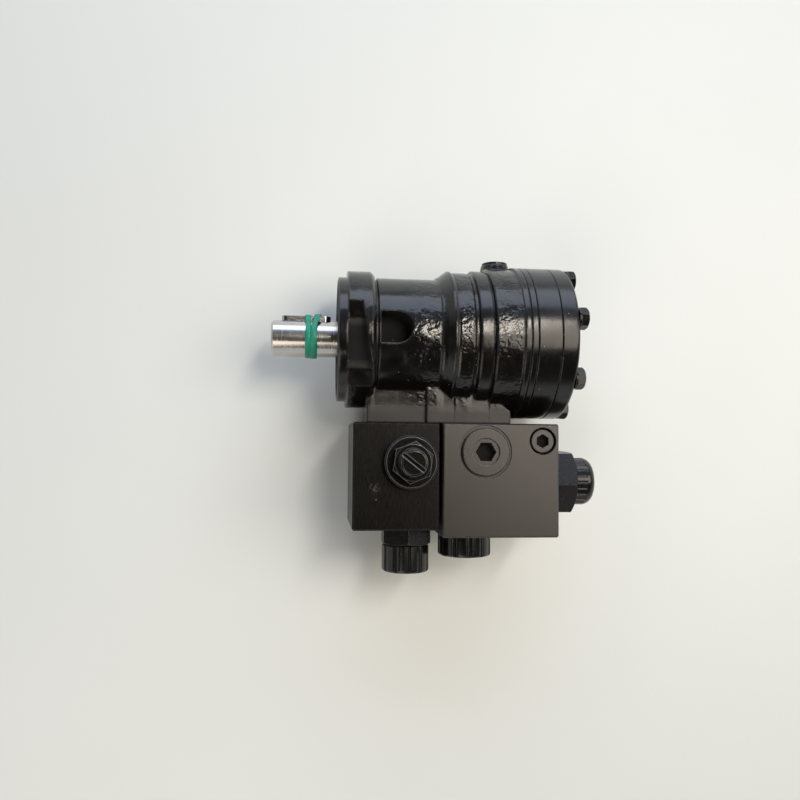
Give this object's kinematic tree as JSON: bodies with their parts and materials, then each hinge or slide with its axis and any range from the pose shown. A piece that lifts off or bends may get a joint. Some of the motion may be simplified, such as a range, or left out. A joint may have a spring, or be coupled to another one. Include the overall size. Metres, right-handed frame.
{
  "type": "hydraulic motor",
  "caption": "Orbital hydraulic motor with a keyed shaft, a round flanged housing, a roller rotor set and two bolted valve blocks with a relief valve and capped ports.",
  "frame": {"origin": "centre of the pilot's front face, on the shaft axis", "axes": "+X from the shaft end towards the end cover along the shaft axis, +Y away from the valve blocks, +Z towards the relief valve's adjusting screw"},
  "size_m": [0.2268, 0.2178, 0.1108],
  "materials": {
    "cast_housing": "semi-gloss black paint over a sand casting",
    "seal_rubber": "moulded",
    "ground_steel": "ground",
    "key_steel": "drawn",
    "elastic_band": "matt green elastic",
    "bearing_steel": "ground and oiled",
    "zinc_plated": "zinc plated",
    "copper_washer": "soft copper",
    "dark_plate": "black paint",
    "dark_ring": "black paint",
    "dark_cover": "black paint",
    "black_screws": "black oxide",
    "left_block_black": "black phosphate with oil film",
    "right_block_black": "black phosphate with oil film",
    "black_valve": "black oxide",
    "spring_steel": "drawn wire",
    "adjuster_steel": "black oxide",
    "nut_steel": "black oxide",
    "plug_black": "black oxide",
    "screw_black": "black oxide",
    "side_hex_black": "black oxide",
    "knob_plastic": "moulded black",
    "fitting_black": "black oxide",
    "cap_plastic": "moulded black"
  },
  "bodies": {
    "housing_group": {"housing": "cast_housing", "dust_seal": "seal_rubber", "shaft_seal": "seal_rubber", "thrust_race_front": "bearing_steel", "drain_plug": "zinc_plated", "drain_plug_washer": "copper_washer", "channel_plate": "dark_plate", "geroler_ring": "dark_ring", "end_cover": "dark_cover", "end_cover_screws": "black_screws", "end_cover_washers": "black_screws", "housing_face_seal": "seal_rubber", "plate_face_seal": "seal_rubber", "cover_face_seal": "seal_rubber", "left_block": "left_block_black", "right_block": "right_block_black", "left_block_screws": "black_screws", "right_block_screws": "black_screws", "port_seals": "seal_rubber", "relief_cartridge": "black_valve", "relief_spring": "spring_steel", "check_plug": "plug_black", "check_plug_seal": "seal_rubber", "check_spring": "spring_steel", "socket_screw": "screw_black", "side_cartridge": "side_hex_black", "left_fitting": "fitting_black", "right_fitting": "fitting_black", "fitting_seals": "seal_rubber"},
    "shaft_group": {"output_shaft": "ground_steel", "shaft_key": "key_steel", "key_band": "elastic_band", "thrust_race_rear": "bearing_steel"},
    "needle_cage": {"thrust_cage": "bearing_steel"},
    "orbit_spacer": {"cardan_spacer": "bearing_steel"},
    "rotor_wheel": {"rotor": "bearing_steel"},
    "drive_link": {"cardan_shaft": "bearing_steel"},
    "spring_seat": {"relief_spring_seat": "bearing_steel"},
    "adjusting_screw": {"relief_adjusting_screw": "adjuster_steel"},
    "lock_nut": {"relief_lock_nut": "nut_steel"},
    "relief_cone": {"relief_poppet": "bearing_steel"},
    "check_valve_ball": {"check_ball": "bearing_steel"},
    "end_knob": {"side_cap": "knob_plastic"},
    "left_dust_cap": {"left_cap": "cap_plastic"},
    "right_dust_cap": {"right_cap": "cap_plastic"},
    "roller_body_1": {"roller_1": "bearing_steel"},
    "roller_body_2": {"roller_2": "bearing_steel"},
    "roller_body_3": {"roller_3": "bearing_steel"},
    "roller_body_4": {"roller_4": "bearing_steel"},
    "roller_body_5": {"roller_5": "bearing_steel"},
    "roller_body_6": {"roller_6": "bearing_steel"},
    "roller_body_7": {"roller_7": "bearing_steel"}
  },
  "joints": [
    {"name": "shaft_turn", "type": "hinge", "parent": "housing_group", "child": "shaft_group", "pos_m": [0, 0, 0], "axis": [1, 0, 0], "continuous": true},
    {"name": "needle_cage_turn", "type": "hinge", "parent": "housing_group", "child": "needle_cage", "pos_m": [0.01945, 0, 0], "axis": [1, 0, 0], "continuous": true},
    {"name": "rotor_orbit", "type": "hinge", "parent": "housing_group", "child": "orbit_spacer", "pos_m": [0.1374, 0, 0], "axis": [1, 0, 0], "continuous": true},
    {"name": "rotor_turn", "type": "hinge", "parent": "orbit_spacer", "child": "rotor_wheel", "pos_m": [0.1374, 0.0033, 0], "axis": [1, 0, 0], "continuous": true},
    {"name": "link_turn", "type": "hinge", "parent": "orbit_spacer", "child": "drive_link", "pos_m": [0.0715, 0, 0], "axis": [0.9987, 0.0501, 0], "continuous": true},
    {"name": "roller_1_turn", "type": "hinge", "parent": "housing_group", "child": "roller_body_1", "pos_m": [0.1374, 0.031, 0], "axis": [1, 0, 0], "continuous": true},
    {"name": "roller_2_turn", "type": "hinge", "parent": "housing_group", "child": "roller_body_2", "pos_m": [0.1374, 0.01933, 0.02424], "axis": [1, 0, 0], "continuous": true},
    {"name": "roller_3_turn", "type": "hinge", "parent": "housing_group", "child": "roller_body_3", "pos_m": [0.1374, -0.0069, 0.03022], "axis": [1, 0, 0], "continuous": true},
    {"name": "roller_4_turn", "type": "hinge", "parent": "housing_group", "child": "roller_body_4", "pos_m": [0.1374, -0.02793, 0.01345], "axis": [1, 0, 0], "continuous": true},
    {"name": "roller_5_turn", "type": "hinge", "parent": "housing_group", "child": "roller_body_5", "pos_m": [0.1374, -0.02793, -0.01345], "axis": [1, 0, 0], "continuous": true},
    {"name": "roller_6_turn", "type": "hinge", "parent": "housing_group", "child": "roller_body_6", "pos_m": [0.1374, -0.0069, -0.03022], "axis": [1, 0, 0], "continuous": true},
    {"name": "roller_7_turn", "type": "hinge", "parent": "housing_group", "child": "roller_body_7", "pos_m": [0.1374, 0.01933, -0.02424], "axis": [1, 0, 0], "continuous": true},
    {"name": "adjuster_turn", "type": "hinge", "parent": "spring_seat", "child": "adjusting_screw", "pos_m": [0.048, -0.084, 0.05], "axis": [0, 0, 1], "range_deg": [-730, 730]},
    {"name": "spring_seat_travel", "type": "slide", "parent": "housing_group", "child": "spring_seat", "axis": [0, 0, 1], "range_m": [-0.003, 0.003]},
    {"name": "lock_nut_turn", "type": "hinge", "parent": "housing_group", "child": "lock_nut", "pos_m": [0.048, -0.084, 0.047], "axis": [0, 0, 1], "range_deg": [0, 360]},
    {"name": "relief_lift", "type": "slide", "parent": "housing_group", "child": "relief_cone", "axis": [0, 0, 1], "range_m": [0, 0.002], "deforming": ["relief_spring"]},
    {"name": "check_lift", "type": "slide", "parent": "housing_group", "child": "check_valve_ball", "axis": [0, 0, 1], "range_m": [0, 0.002], "deforming": ["check_spring"]},
    {"name": "end_knob_turn", "type": "hinge", "parent": "housing_group", "child": "end_knob", "pos_m": [0.1745, -0.0977, 0], "axis": [1, 0, 0], "range_deg": [0, 360]},
    {"name": "left_cap_pull", "type": "slide", "parent": "housing_group", "child": "left_dust_cap", "axis": [0, -1, 0], "range_m": [0, 0.02]},
    {"name": "right_cap_pull", "type": "slide", "parent": "housing_group", "child": "right_dust_cap", "axis": [0, -1, 0], "range_m": [0, 0.018]}
  ],
  "couplings": [
    {"joint": "needle_cage_turn", "follows": "shaft_turn", "ratio": 0.5},
    {"joint": "rotor_orbit", "follows": "shaft_turn", "ratio": -6},
    {"joint": "rotor_turn", "follows": "shaft_turn", "ratio": 7},
    {"joint": "link_turn", "follows": "shaft_turn", "ratio": 7},
    {"joint": "roller_1_turn", "follows": "shaft_turn", "ratio": -3.4286},
    {"joint": "roller_2_turn", "follows": "shaft_turn", "ratio": -3.4286},
    {"joint": "roller_3_turn", "follows": "shaft_turn", "ratio": -3.4286},
    {"joint": "roller_4_turn", "follows": "shaft_turn", "ratio": -3.4286},
    {"joint": "roller_5_turn", "follows": "shaft_turn", "ratio": -3.4286},
    {"joint": "roller_6_turn", "follows": "shaft_turn", "ratio": -3.4286},
    {"joint": "roller_7_turn", "follows": "shaft_turn", "ratio": -3.4286},
    {"joint": "adjuster_turn", "follows": "spring_seat_travel", "rad_per_m": 4188.8}
  ]
}
